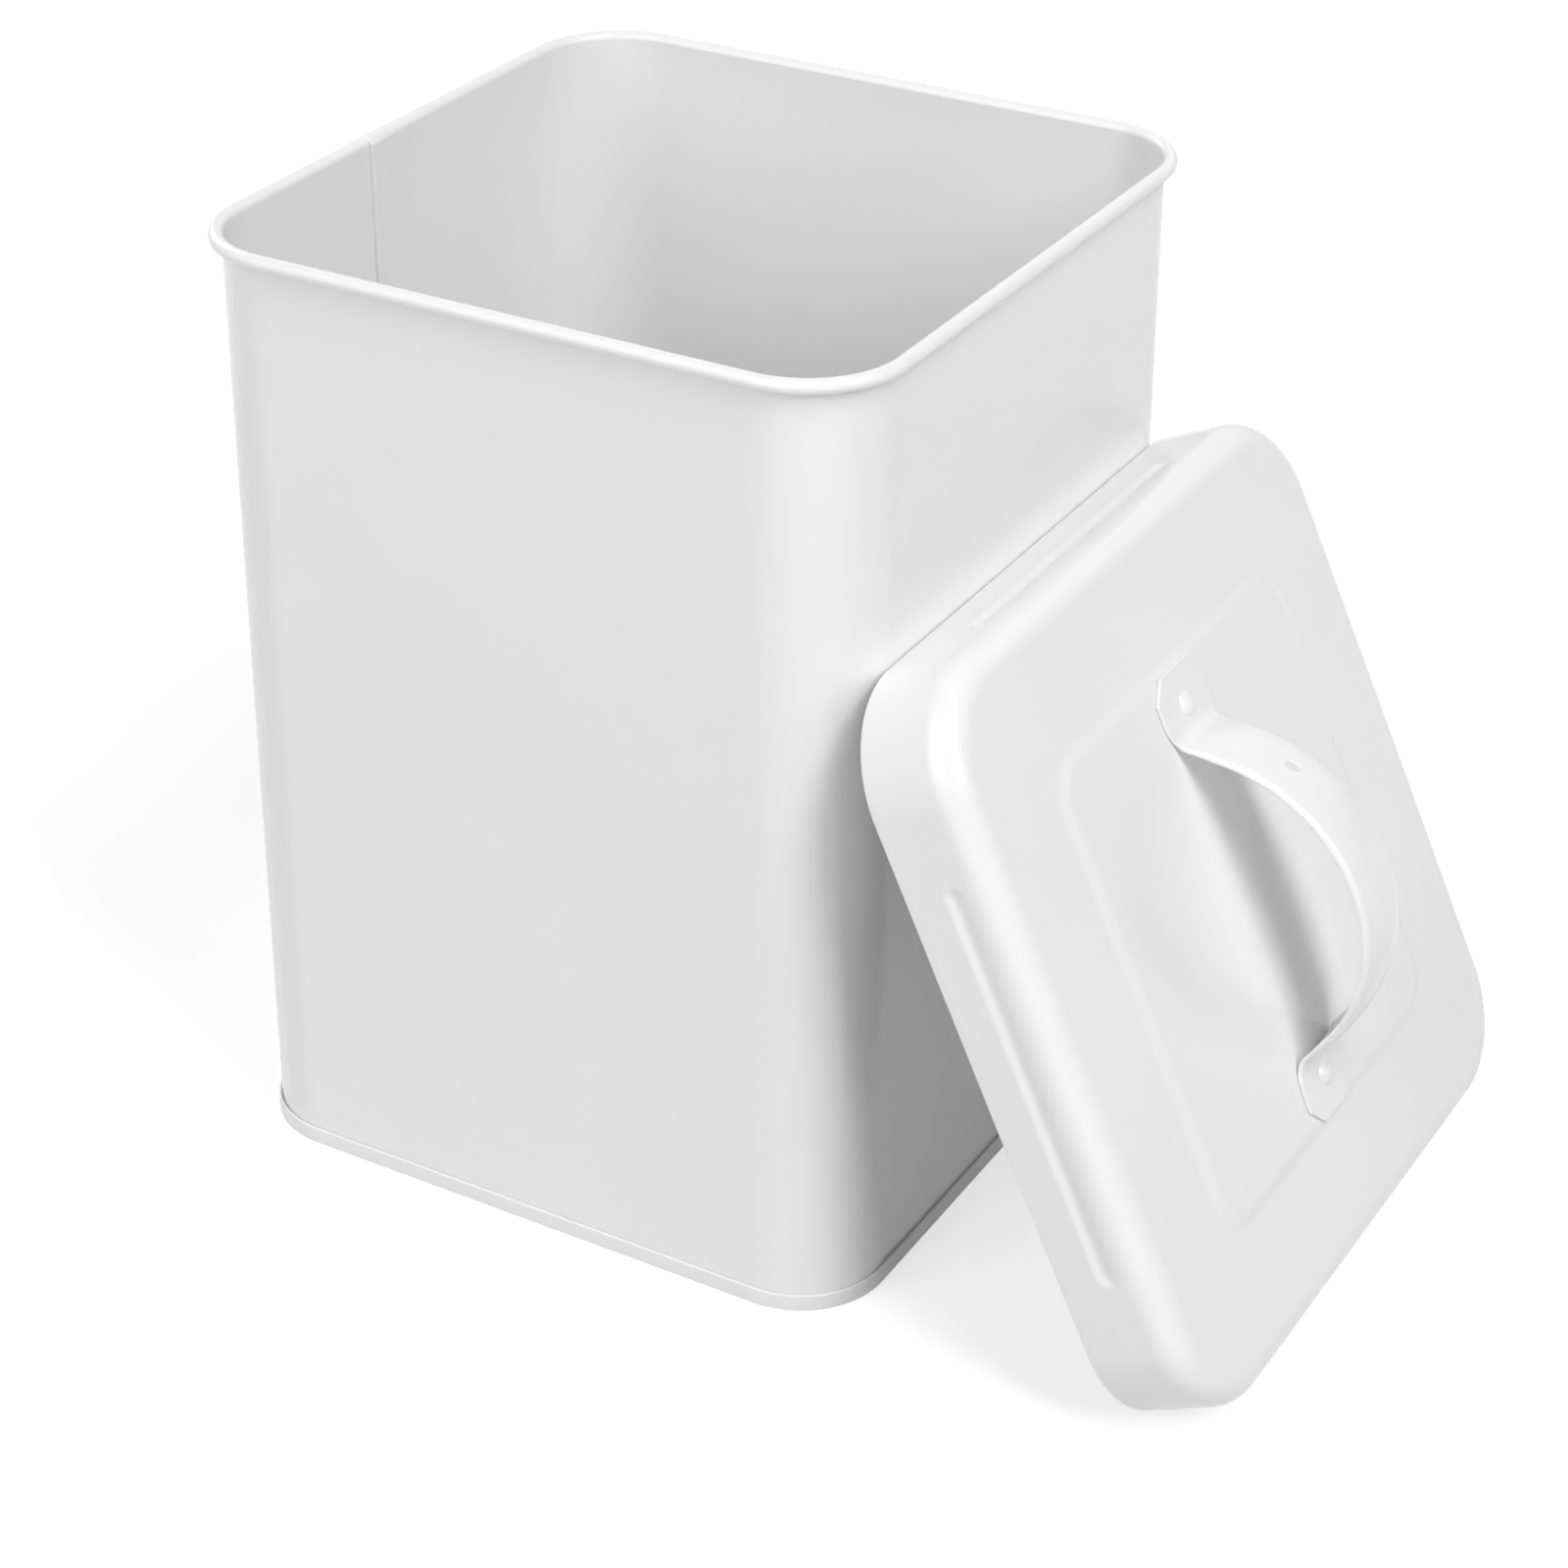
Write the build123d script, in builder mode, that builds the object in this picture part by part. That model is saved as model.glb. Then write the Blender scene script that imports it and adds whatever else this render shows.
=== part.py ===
"""White sheet-steel storage tin with its lift-off lid leaning against one side.

Millimetres, +Z up. The origin is the centre of the tin's base, on the surface that it stands on.
The lid stands on its open edge and leans on the tin's +X wall.
"""
import os
from math import atan2, cos, radians, sin, tan

from build123d import *

# Tin: a rounded square tube of sheet steel with an outward curl round its mouth
body_width = 170.0
body_height = 239.0
corner_radius = 21.5
sheet = 0.6
curl_diameter = 3.6
curl_start = 180.0
curl_turn = 298.0

# Lap seam where the wall sheet closes on itself, on the -X wall
lap_place = -13.5
lap_width = 6.0
lap_run = 16.0
lap_clear = 1.0

# Base: a shallow tray folded up round the foot of the wall
base_sheet = 0.7
fold_gap = 0.15
fold_height = 4.4
fold_round = 0.3
panel_height = 6.0
panel_round = 1.2

# Lid: a pressed pan with a raised panel, a stiffening bead on each side and a hemmed edge
lid_sheet = 0.6
lid_clearance = 2.4
lid_corner_ease = 0.4
lid_depth = 24.2
lid_shoulder = 7.0
hem_height = 3.5
raised_margin = 2.0
raised_corner = 12.0
raised_rise = 0.9
raised_slope = 3.0
bead_length = 99.0
bead_radius = 5.0
bead_depth = 0.9
bead_height = 13.0

# Lid's stance against the tin
lean_angle = 25.0
lean_gap = 0.1
lid_place = 1.2

# Handle: an arched strap with its long edges turned down and two wider flat feet
strap_sheet = 1.0
strap_width = 20.0
feet_width = 23.5
arch_radius = 43.5
arch_height = 32.5
bend_radius = 4.0
foot_past_rivet = 9.3
foot_chamfer = 5.0
flange_depth = 2.0
neck_length = 3.0
strap_round = 0.8
strap_hole_diameter = 3.4
strap_hole_angle = 42.0

# Rivets through the handle's feet and the lid
rivet_bend_gap = 0.3
rivet_diameter = 3.0
rivet_clearance = 0.05
rivet_head_diameter = 6.4
rivet_head_height = 1.5
rivet_tail_height = 0.8

# Sizes that follow from those above
half_body = body_width / 2
curl_radius = curl_diameter / 2
curl_offset = curl_radius - sheet
rim_reach = half_body + curl_offset + curl_radius
rim_centre = body_height - curl_radius
wall_foot = base_sheet + fold_gap
half_lid = rim_reach + lid_clearance + 2 * lid_sheet
lid_width = 2 * half_lid
lid_corner = corner_radius + curl_diameter + lid_corner_ease
lid_top = lid_depth + raised_rise
flange_foot = strap_sheet + bend_radius
arch_centre = (0, arch_height - arch_radius)
bend_foot = ((arch_radius + bend_radius)**2 - (flange_foot - arch_centre[1])**2)**0.5
head_radius = rivet_head_diameter / 2
hole_radius = rivet_diameter / 2 + rivet_clearance
rivet_place = bend_foot + head_radius + rivet_bend_gap
foot_reach = rivet_place + foot_past_rivet
raised_width = 2 * (foot_reach + raised_margin)
bead_half = (bead_radius**2 - (bead_radius - bead_depth)**2)**0.5
bead_straight = bead_length - 2 * bead_half
sides = 4
match = 0.001
both_ends = (-1, 1)

# The lid's own frame: origin at the centre of its open edge, x across, y up the lean, z out of its top
lean = radians(lean_angle)
lid_seat = Plane(
    origin=(half_body + lean_gap + half_lid * sin(lean), lid_place, half_lid * cos(lean)),
    x_dir=(0, 1, 0),
    z_dir=(cos(lean), 0, sin(lean)),
)
lid_axis = Axis(lid_seat.origin, lid_seat.z_dir)
handle_seat = lid_seat.offset(lid_top)

os.makedirs("parts", exist_ok=True)


def tin_outline(grow):
    """The tin's rounded-square footprint, moved out by grow on every side."""
    return RectangleRounded(body_width + 2 * grow, body_width + 2 * grow, corner_radius + grow)


def lid_outline(inset):
    """The lid's rounded-square outline, moved in by inset on every side."""
    return RectangleRounded(lid_width - 2 * inset, lid_width - 2 * inset, lid_corner - inset)


# Wall: one section of wall and curl carried round the rounded square, then the lap seam's two edges
with BuildPart() as tin_wall:
    with BuildSketch(mode=Mode.PRIVATE) as footprint:
        tin_outline(0)
    path = footprint.sketch.face().outer_wire()
    outward = (path % 0).cross(Vector(0, 0, 1))
    with BuildSketch(Plane(origin=path @ 0, x_dir=outward, z_dir=-(path % 0))):
        with BuildLine():
            Line((0, wall_foot), (0, rim_centre))
            inner = CenterArc((curl_offset, rim_centre), curl_offset, curl_start, -curl_turn)
            outer = CenterArc((curl_offset, rim_centre), curl_radius, curl_start, -curl_turn)
            Line(inner @ 1, outer @ 1)
            Line((-sheet, rim_centre), (-sheet, wall_foot))
            Line((-sheet, wall_foot), (0, wall_foot))
        make_face()
    sweep(path=path)
    inside_face = sheet - half_body
    inside_foot = panel_height + lap_clear
    with BuildSketch(Plane.XY.offset(inside_foot)):
        with BuildLine():
            Polyline(
                (inside_face, lap_place),
                (inside_face + sheet, lap_place),
                (inside_face, lap_place + lap_run),
                close=True,
            )
        make_face()
    extrude(amount=rim_centre - inside_foot)
    outside_foot = fold_height + lap_clear
    outside_edge = lap_place + lap_width
    with BuildSketch(Plane.XY.offset(outside_foot)):
        with BuildLine():
            Polyline(
                (-half_body, outside_edge),
                (-half_body - sheet, outside_edge),
                (-half_body, outside_edge - lap_run),
                close=True,
            )
        make_face()
    extrude(amount=rim_centre - curl_radius - lap_clear - outside_foot)
tin_wall.part.label = "tin_wall"
export_step(tin_wall.part, "parts/tin_wall.step")

# Base: a tray whose edge is folded into a channel that holds the foot of the wall
fold_inset = sheet + fold_gap
leg_inset = fold_inset + base_sheet
fold_reach = fold_gap + base_sheet
with BuildPart() as tin_base:
    with BuildSketch():
        tin_outline(fold_reach)
    extrude(amount=fold_height)
    fillet(tin_base.faces().filter_by(Axis.Z).edges(), fold_round)
    with BuildSketch(Plane.XY.offset(base_sheet)):
        tin_outline(fold_gap)
    extrude(amount=panel_height, mode=Mode.SUBTRACT)
    with BuildSketch(Plane.XY.offset(base_sheet)):
        tin_outline(-fold_inset)
    extrude(amount=panel_height - base_sheet)
    fillet(tin_base.faces().sort_by(Axis.Z)[-1].edges(), panel_round)
    with BuildSketch():
        tin_outline(-leg_inset)
    extrude(amount=panel_height - base_sheet, mode=Mode.SUBTRACT)
    ceiling = tin_base.faces().filter_by(Axis.Z).sort_by(Axis.Z)[-2]
    fillet(ceiling.edges(), panel_round - base_sheet)
tin_base.part.label = "tin_base"
export_step(tin_base.part, "parts/tin_base.step")


def pan_form(inset):
    """The lid as a solid, every skin moved in by inset: none for its outside, one sheet for its hollow."""
    mitre = inset * tan(atan2(raised_rise, raised_slope) / 2)
    foot_width = raised_width - 2 * mitre
    head_width = foot_width - 2 * raised_slope
    with BuildPart() as form:
        with BuildSketch(lid_seat):
            lid_outline(inset)
        extrude(amount=lid_depth - inset)
        fillet(form.faces().sort_by(lid_axis)[-1].edges(), lid_shoulder - inset)
        with BuildSketch(lid_seat.offset(lid_depth - inset)):
            RectangleRounded(foot_width, foot_width, raised_corner - mitre)
        with BuildSketch(lid_seat.offset(lid_top - inset)):
            RectangleRounded(head_width, head_width, raised_corner - mitre - raised_slope)
        loft()
        with Locations(lid_seat):
            with PolarLocations(half_lid + bead_radius - bead_depth, sides):
                with Locations(Location((0, 0, bead_height), (90, 0, 0))):
                    Cylinder(bead_radius + inset, bead_straight, mode=Mode.SUBTRACT)
                    with Locations((0, 0, -bead_straight / 2), (0, 0, bead_straight / 2)):
                        Sphere(bead_radius + inset, mode=Mode.SUBTRACT)
    return form.part


# Lid: the pan less its hollow, with the open edge folded inwards and two rivet holes in the panel
pan_outside = pan_form(0)
pan_hollow = pan_form(lid_sheet)
with BuildPart() as lid:
    add(pan_outside)
    add(pan_hollow, mode=Mode.SUBTRACT)
    with BuildSketch(lid_seat):
        lid_outline(lid_sheet / 2)
        with BuildSketch(mode=Mode.SUBTRACT):
            lid_outline(2 * lid_sheet)
    extrude(amount=hem_height)
    with BuildSketch(handle_seat):
        for end in both_ends:
            with Locations((0, end * rivet_place)):
                Circle(hole_radius)
    extrude(amount=-lid_depth, mode=Mode.SUBTRACT)
lid.part.label = "lid"
export_step(lid.part, "parts/lid.step")

# Handle: the strap's side view drawn out to its width, a flange along each edge, a wider plate for each foot
side_view = Plane(origin=handle_seat.origin, x_dir=handle_seat.y_dir, z_dir=handle_seat.x_dir)
arch_root = (arch_radius**2 - (arch_radius - arch_height)**2)**0.5
strap_end = foot_reach - foot_chamfer
foot_length = strap_end - arch_root + strap_sheet
half_foot = feet_width / 2
foot_plan = (
    (strap_width / 2, bend_foot),
    (half_foot, bend_foot + neck_length),
    (half_foot, strap_end),
    (half_foot - foot_chamfer, foot_reach),
)
with BuildPart() as lid_handle:
    with BuildSketch(side_view) as strap:
        with Locations(arch_centre):
            Circle(arch_radius)
            Circle(arch_radius - strap_sheet, mode=Mode.SUBTRACT)
        with Locations((0, arch_height / 2)):
            Rectangle(2 * foot_reach, arch_height, mode=Mode.INTERSECT)
        with Locations(*[(end * (strap_end - foot_length / 2), strap_sheet / 2) for end in both_ends]):
            Rectangle(foot_length, strap_sheet)
        bends = strap.vertices().filter_by(lambda corner: abs(corner.X) < arch_root)
        fillet(bends.sort_by(Axis.Y)[2:], bend_radius)
        fillet(bends.sort_by(Axis.Y)[:2], bend_radius + strap_sheet)
    extrude(amount=strap_width / 2, both=True)
    for end in both_ends:
        with BuildSketch(side_view.offset(end * strap_width / 2)):
            with Locations(arch_centre):
                Circle(arch_radius)
                Circle(arch_radius - flange_depth, mode=Mode.SUBTRACT)
            with Locations((0, flange_foot + arch_height / 2)):
                Rectangle(2 * foot_reach, arch_height, mode=Mode.INTERSECT)
        extrude(amount=-end * strap_sheet)
    rings = lid_handle.edges().filter_by(GeomType.CIRCLE)
    fillet(rings.filter_by(lambda ring: abs(ring.radius - arch_radius) < match), strap_round)
    with BuildSketch(handle_seat):
        for end in both_ends:
            right_edge = [(across, end * up) for across, up in foot_plan]
            left_edge = [(-across, end * up) for across, up in reversed(foot_plan)]
            with BuildLine():
                Polyline(*right_edge, *left_edge, close=True)
            make_face()
    extrude(amount=strap_sheet)
    with Locations(side_view):
        with Locations(Location((*arch_centre, 0), (0, 0, -strap_hole_angle))):
            with Locations(Location((0, arch_radius, 0), (90, 0, 0))):
                Hole(strap_hole_diameter / 2, depth=2 * strap_sheet)
    with Locations(handle_seat):
        with Locations(*[(0, end * rivet_place, strap_sheet) for end in both_ends]):
            Hole(hole_radius, depth=2 * strap_sheet)
lid_handle.part.label = "lid_handle"
export_step(lid_handle.part, "parts/lid_handle.step")

# Rivets: a domed head on each foot, a shank through foot and lid, and a flat head closed up inside
grip = strap_sheet + lid_sheet
dome_radius = (head_radius**2 + rivet_head_height**2) / (2 * rivet_head_height)
with BuildPart() as handle_rivets:
    for end in both_ends:
        rivet = Plane(
            origin=handle_seat.from_local_coords((0, end * rivet_place, -lid_sheet)),
            x_dir=handle_seat.x_dir,
            z_dir=-handle_seat.y_dir,
        )
        with BuildSketch(rivet):
            with BuildLine():
                crown = (0, grip + rivet_head_height)
                RadiusArc((head_radius, grip), crown, -dome_radius)
                Polyline(
                    crown,
                    (0, -rivet_tail_height),
                    (head_radius, -rivet_tail_height),
                    (head_radius, 0),
                    (rivet_diameter / 2, 0),
                    (rivet_diameter / 2, grip),
                    (head_radius, grip),
                )
            make_face()
        revolve(axis=Axis(rivet.origin, rivet.y_dir))
handle_rivets.part.label = "handle_rivets"
export_step(handle_rivets.part, "parts/handle_rivets.step")
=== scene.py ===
# %% [markdown]
# # A white sheet-steel powder tin with its lid leaning on one side
#
# The real tin is folded from thin steel sheet and then powder coated white: a rounded square wall with an
# outward curl round its mouth, a base tray folded round its foot, a pressed lid and a riveted strap handle.
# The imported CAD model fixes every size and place. This lesson dresses it: each sheet-metal piece becomes one
# smooth surface worked out with numpy, and gets a coat of paint that catches light as powder coat does.
# We could give the CAD meshes a material and stop there, but their triangles are flat-shaded, and on a plain
# white object the soft light on the curls and folds is all that there is to see.

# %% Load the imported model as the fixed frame
from math import atan2, cos, degrees, pi, radians, sin, sqrt

import bpy
import bmesh
import numpy as np
from mathutils import Matrix, Vector


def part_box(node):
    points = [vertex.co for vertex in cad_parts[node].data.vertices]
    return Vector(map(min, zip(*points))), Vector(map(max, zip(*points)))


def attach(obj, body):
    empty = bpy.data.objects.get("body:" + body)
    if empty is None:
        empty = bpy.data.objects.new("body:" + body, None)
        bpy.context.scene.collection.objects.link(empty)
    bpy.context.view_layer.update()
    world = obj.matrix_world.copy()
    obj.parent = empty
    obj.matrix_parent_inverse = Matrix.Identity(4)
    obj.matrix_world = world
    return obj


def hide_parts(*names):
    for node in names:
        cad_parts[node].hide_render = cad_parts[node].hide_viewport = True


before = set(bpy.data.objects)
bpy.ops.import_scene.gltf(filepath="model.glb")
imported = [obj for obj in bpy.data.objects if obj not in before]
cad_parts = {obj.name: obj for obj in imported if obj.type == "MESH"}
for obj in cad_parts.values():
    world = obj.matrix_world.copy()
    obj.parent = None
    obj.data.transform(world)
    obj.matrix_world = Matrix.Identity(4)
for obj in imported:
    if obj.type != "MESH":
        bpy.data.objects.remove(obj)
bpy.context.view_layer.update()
mm = 0.001
print("CAD nodes:", sorted(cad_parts))

# %% [markdown]
# ## Sizes
#
# Whatever the frame can tell is read from it: how far the rim reaches, how high the tin stands, where the lid
# is. The sheet's thickness and the radii of the folds are named here once, in millimetres times `mm`, because
# a box of corners can't show them.

# %% Sizes of the tin, from the frame and from the sheet
wall_low, wall_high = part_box("tin_wall")
base_low, base_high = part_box("tin_base")
sheet = 0.6 * mm
curl_radius = 1.8 * mm
curl_turn = radians(298)
corner_radius = 21.5 * mm
rim_centre = wall_high.z - curl_radius
half_body = wall_high.x - 2 * curl_radius + sheet
wall_foot = wall_low.z
panel_height = base_high.z
print("tin: half width", round(half_body / mm, 2), "rim centre", round(rim_centre / mm, 2), "mm")

# %% Sizes and own axes of the lid
lid_low, lid_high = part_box("lid")
half_lid = (lid_high.y - lid_low.y) / 2
lean = radians(25)
lid_across = np.array([0.0, 1.0, 0.0])
lid_upward = np.array([-sin(lean), 0.0, cos(lean)])
lid_outward = np.array([cos(lean), 0.0, sin(lean)])
lid_centre = np.array([lid_low.x + half_lid * sin(lean), (lid_low.y + lid_high.y) / 2, half_lid * cos(lean)])
lid_depth = 24.2 * mm
lid_corner = 25.5 * mm
raised_rise = 0.9 * mm
print("lid: half width", round(half_lid / mm, 2), "mm, leaning", round(degrees(lean)), "degrees")


def from_lid(points):
    """Points given across, up and out of the lid, moved to the frame: centre plus each axis times share."""
    across, up, out = points[..., :1], points[..., 1:2], points[..., 2:]
    return lid_centre + across * lid_across + up * lid_upward + out * lid_outward


# %% [markdown]
# ## A rounded square as a formula
#
# The tin, its base and its lid are all rounded squares. Blender could bevel a cube's four edges, but then
# each fold would be a modelling step of its own. One formula does them all: a rounded square is a smaller
# square that is swollen by the corner's radius. Each station round it has a place on that inner square and a
# direction to swell in, and so a whole stack of rounded squares is two small arrays multiplied and added.

# %% Stations round a rounded square
def outline_stations(sides, corner_steps):
    """Where the stations stand on the inner square, from -1 to 1, and the direction in which each swells.

    The four sides follow each other anticlockwise. On a side the direction stays square to it, and the place
    runs along it as the given numbers say. At a corner the place stays and the direction turns by a quarter.
    """
    places, headings = [], []
    for quarter, along in enumerate(sides):
        turn = quarter * pi / 2
        ahead = np.array([cos(turn), sin(turn)])
        aside = np.array([-sin(turn), cos(turn)])
        angle = turn + np.arange(1, corner_steps) / corner_steps * pi / 2
        places += [ahead + along[:, None] * aside, np.tile(ahead + aside, (corner_steps - 1, 1))]
        headings += [np.tile(ahead, (len(along), 1)), np.stack([np.cos(angle), np.sin(angle)], axis=1)]
    return np.vstack(places), np.vstack(headings)


def rounded_squares(half, corner, height, stations):
    """A stack of rounded squares: inner square times place, plus corner radius times direction, by height."""
    place, heading = stations
    flat = (half - corner)[:, None, None] * place + corner[:, None, None] * heading
    return np.concatenate([flat, np.broadcast_to(height[:, None, None], flat.shape[:2] + (1,))], axis=2)


flat_end = 0.004


def side_places(count):
    """Even places along a side, with one more close to each end to keep the flat flat beside the corner."""
    even = np.linspace(-1, 1, count)
    return np.concatenate([[-1], [flat_end - 1], even[1:-1], [1 - flat_end], [1]])


plain_side = side_places(9)
print("places along a plain side:", len(plain_side))


# %% [markdown]
# ## From rings of points to a mesh
#
# A stack of rings is already a mesh waiting for its faces. Every ring has as many points as the next one, so
# the faces are index arithmetic on a whole array at once. A ring can also be closed by a pole, one point in
# the middle with a fan of triangles. Edges that turn sharply stay sharp, and all the others shade smoothly.

# %% Faces for a stack of rings, and a finished piece
def ring_faces(rows, columns, closed=False):
    """Four-sided faces between each ring and the next, and from the last to the first where it is closed."""
    row = np.arange(rows if closed else rows - 1)[:, None]
    column = np.arange(columns)[None, :]
    after = (column + 1) % columns
    above = (row + 1) % rows
    here, there = row * columns, above * columns
    corners = [here + column, here + after, there + after, there + column]
    return np.stack(corners, axis=-1).reshape(-1, 4)


def pole_faces(pole, first, columns, above):
    """Triangles from the ring that starts at index first to its pole, facing up or down."""
    here = first + np.arange(columns)
    there = first + (np.arange(columns) + 1) % columns
    fan = [here, there, np.full(columns, pole)] if above else [there, here, np.full(columns, pole)]
    return np.stack(fan, axis=-1)


def make_piece(name, points, faces, node, material, sharp=35):
    """A mesh object at the origin that stands for a CAD node, smooth but for edges sharper than the angle."""
    mesh = bpy.data.meshes.new(name)
    mesh.from_pydata(points.reshape(-1, 3).tolist(), [], [face for group in faces for face in group.tolist()])
    mesh.update()
    mesh.shade_smooth()
    mesh.set_sharp_from_angle(angle=radians(sharp))
    mesh.materials.append(material)
    piece = bpy.data.objects.new(name, mesh)
    bpy.context.scene.collection.objects.link(piece)
    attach(piece, "root")
    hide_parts(node)
    print(name, "has", len(mesh.vertices), "points and", len(mesh.polygons), "faces")
    return piece


# %% [markdown]
# ## The paint
#
# Powder coat is sprayed on dry and melts in an oven. It comes out half glossy and never quite even: the film
# drifts a little in thickness, which shifts its white by a shade, and its skin has a fine orange peel. A
# plain white shader would look like plaster. Here a broad noise drifts between two close whites, a middle
# one moves the gloss, and a fine one lifts the surface by about a hundredth of a millimetre. All read
# Object coordinates, so the pattern has its real size on every piece. The base's tight fold takes the coat
# less smoothly, so its paint is a little duller.

# %% A powder coat made of three noises
def noise(tree, coordinates, size, detail):
    """Noise whose patches are about as large as the given size."""
    node = tree.nodes.new("ShaderNodeTexNoise")
    node.inputs["Scale"].default_value = 1 / size
    node.inputs["Detail"].default_value = detail
    tree.links.new(coordinates.outputs["Object"], node.inputs["Vector"])
    return node.outputs["Fac"]


white_patch, gloss_patch, peel_patch = 55 * mm, 14 * mm, 1.3 * mm
gloss_drift = 0.05
peel_height = 0.012 * mm


def powder_coat(name, gloss, dim=0.87, bright=0.91):
    """White powder coat: a broad noise drifts the white, a middle one the gloss, a fine one is the peel."""
    material = bpy.data.materials.new(name)
    material.use_nodes = True
    tree = material.node_tree
    shader = tree.nodes["Principled BSDF"]
    coordinates = tree.nodes.new("ShaderNodeTexCoord")
    white = tree.nodes.new("ShaderNodeMix")
    white.data_type = "RGBA"
    white.inputs["A"].default_value = (dim, dim, dim, 1)
    white.inputs["B"].default_value = (bright, bright, bright, 1)
    tree.links.new(noise(tree, coordinates, white_patch, 2.0), white.inputs["Factor"])
    tree.links.new(white.outputs["Result"], shader.inputs["Base Color"])
    half_gloss = tree.nodes.new("ShaderNodeMapRange")
    half_gloss.inputs["To Min"].default_value = gloss - gloss_drift
    half_gloss.inputs["To Max"].default_value = gloss + gloss_drift
    tree.links.new(noise(tree, coordinates, gloss_patch, 3.0), half_gloss.inputs["Value"])
    tree.links.new(half_gloss.outputs["Result"], shader.inputs["Roughness"])
    peel = tree.nodes.new("ShaderNodeBump")
    peel.inputs["Strength"].default_value = 1.0
    peel.inputs["Distance"].default_value = peel_height
    tree.links.new(noise(tree, coordinates, peel_patch, 1.0), peel.inputs["Height"])
    tree.links.new(peel.outputs["Normal"], shader.inputs["Normal"])
    print(name, "roughness about", gloss)
    return material


tin_paint = powder_coat("tin_powder_coat", 0.22)
base_paint = powder_coat("base_powder_coat", 0.36, dim=0.86, bright=0.90)
lid_paint = powder_coat("lid_powder_coat", 0.22)
handle_paint = powder_coat("handle_powder_coat", 0.21)
rivet_paint = powder_coat("rivet_powder_coat", 0.21)

# %% [markdown]
# ## The wall and its curl
#
# One strip of sheet is bent into a rounded square and its top edge is rolled outwards into a curl, so that
# the mouth is stiff and has no raw edge. A tube could be bevelled along a curve, but the wall and the curl
# are the same sheet, so here one section line runs up the outside, round the inside of the curl, back over
# its outside and down the inside of the wall. Every point of that line becomes one rounded square.

# %% The section of wall and curl
def curl_arc(radius, start, end, count):
    """Points of a circle about the curl's centre, between two angles, as (outward, up) from the wall."""
    angle = np.linspace(start, end, count)
    direction = np.stack([np.cos(angle), np.sin(angle)], axis=1)
    return radius * direction + [curl_radius - sheet, rim_centre], direction


def upright(outward, heights, facing):
    """A straight run of the section at one distance from the wall's outside, with the side that it faces."""
    line = np.stack([np.full(len(heights), outward), np.array(heights)], axis=1)
    return line, np.tile([facing, 0.0], (len(heights), 1))


hair = 0.02 * mm
support = 0.25 * mm
lap_clear = 1.0 * mm
fold_height = 4.4 * mm
inside_foot = panel_height + lap_clear
outside_foot = fold_height + lap_clear
outside_head = rim_centre - curl_radius - lap_clear
outer_heights = [
    wall_foot, outside_foot, outside_foot + hair, outside_head, outside_head + hair, rim_centre - support,
]
inner_heights = [rim_centre - support, inside_foot + hair, inside_foot, wall_foot]
curl_inner_count, curl_outer_count = 30, 56
section_runs = [
    upright(0.0, outer_heights, 1.0),
    curl_arc(curl_radius - sheet, pi, pi - curl_turn, curl_inner_count),
    curl_arc(curl_radius, pi - curl_turn, pi, curl_outer_count),
    upright(-sheet, inner_heights, -1.0),
]
section = np.vstack([line for line, facing in section_runs])
section_facing = np.vstack([facing for line, facing in section_runs])
print("wall section:", len(section), "points")

# %% [markdown]
# The strip's two ends overlap in a lap seam on one wall. Inside, the upper sheet ends in a rounded step with
# a fine dark crevice at its foot, and outside its other end shows in the same way. The step is no piece of
# its own: it is the same skin, moved off the wall by a function of the place along that side. The stations
# there stand closer together, and the curl swells a little where two sheets are rolled as one.

# %% The lap seam as a move of the skin
lap_place = -13.5 * mm
lap_width = 6.0 * mm
lap_run = 16.0 * mm
crevice = 0.45 * mm
crevice_depth = 0.35 * mm
lap_curl_share = 0.35
lap_fade = 0.15
taper_place = 3 * mm
step_places = np.array([
    -1.0 * mm, -crevice - hair, -crevice, -hair, 0.0,
    0.1 * mm, 0.25 * mm, 0.6 * mm, taper_place, lap_run,
])
step_rises = np.array([
    0, 0, -crevice_depth, -crevice_depth, 0.55 * sheet,
    0.85 * sheet, 0.97 * sheet, 0.96 * sheet, (1 - taper_place / lap_run) * sheet, 0,
])


def lap_step(distance):
    """How far the skin stands off at a distance behind the seam's edge: crevice, step, then a taper."""
    return np.interp(distance, step_places, step_rises)


inner_side = half_body - corner_radius
smooth_end = np.clip((np.linspace(0, 1, curl_outer_count) - (1 - lap_fade)) / lap_fade, 0, 1) ** 2
inside_places = lap_place + step_places
outside_edge = lap_place + lap_width
outside_places = outside_edge - step_places
lap_places = np.concatenate([plain_side, -inside_places / inner_side, -outside_places / inner_side])
lap_side = np.unique(np.round(lap_places, 9))
tin_corner_steps = 32
wall_stations = outline_stations([plain_side, plain_side, lap_side, plain_side], tin_corner_steps)
on_lap_side = (wall_stations[1] @ [-1.0, 0.0] > 1 - 1e-9)[None, :]
place_along = wall_stations[0][:, 1] * inner_side
outer_count, inner_count = len(outer_heights), len(inner_heights)
rows_of_outer_lap = slice(2, 4)
rows_of_inner_lap = slice(-inner_count, -inner_count + 2)
outside_share = np.zeros(len(section))
outside_share[rows_of_outer_lap] = 1.0
inside_share = np.zeros(len(section))
inside_share[rows_of_inner_lap] = 1.0
outside_of_curl = slice(outer_count + curl_inner_count, len(section) - inner_count)
curl_share = np.zeros(len(section))
curl_share[outside_of_curl] = lap_curl_share
inside_share[outside_of_curl] = smooth_end
lift = (
    inside_share[:, None] * lap_step(place_along - lap_place)
    + outside_share[:, None] * lap_step(outside_edge - place_along)
    + (curl_share * (1 - inside_share))[:, None] * np.maximum(lap_step(place_along - lap_place), 0)
)
moved = section[:, None, :] + section_facing[:, None, :] * (lift * on_lap_side)[:, :, None]
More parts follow.
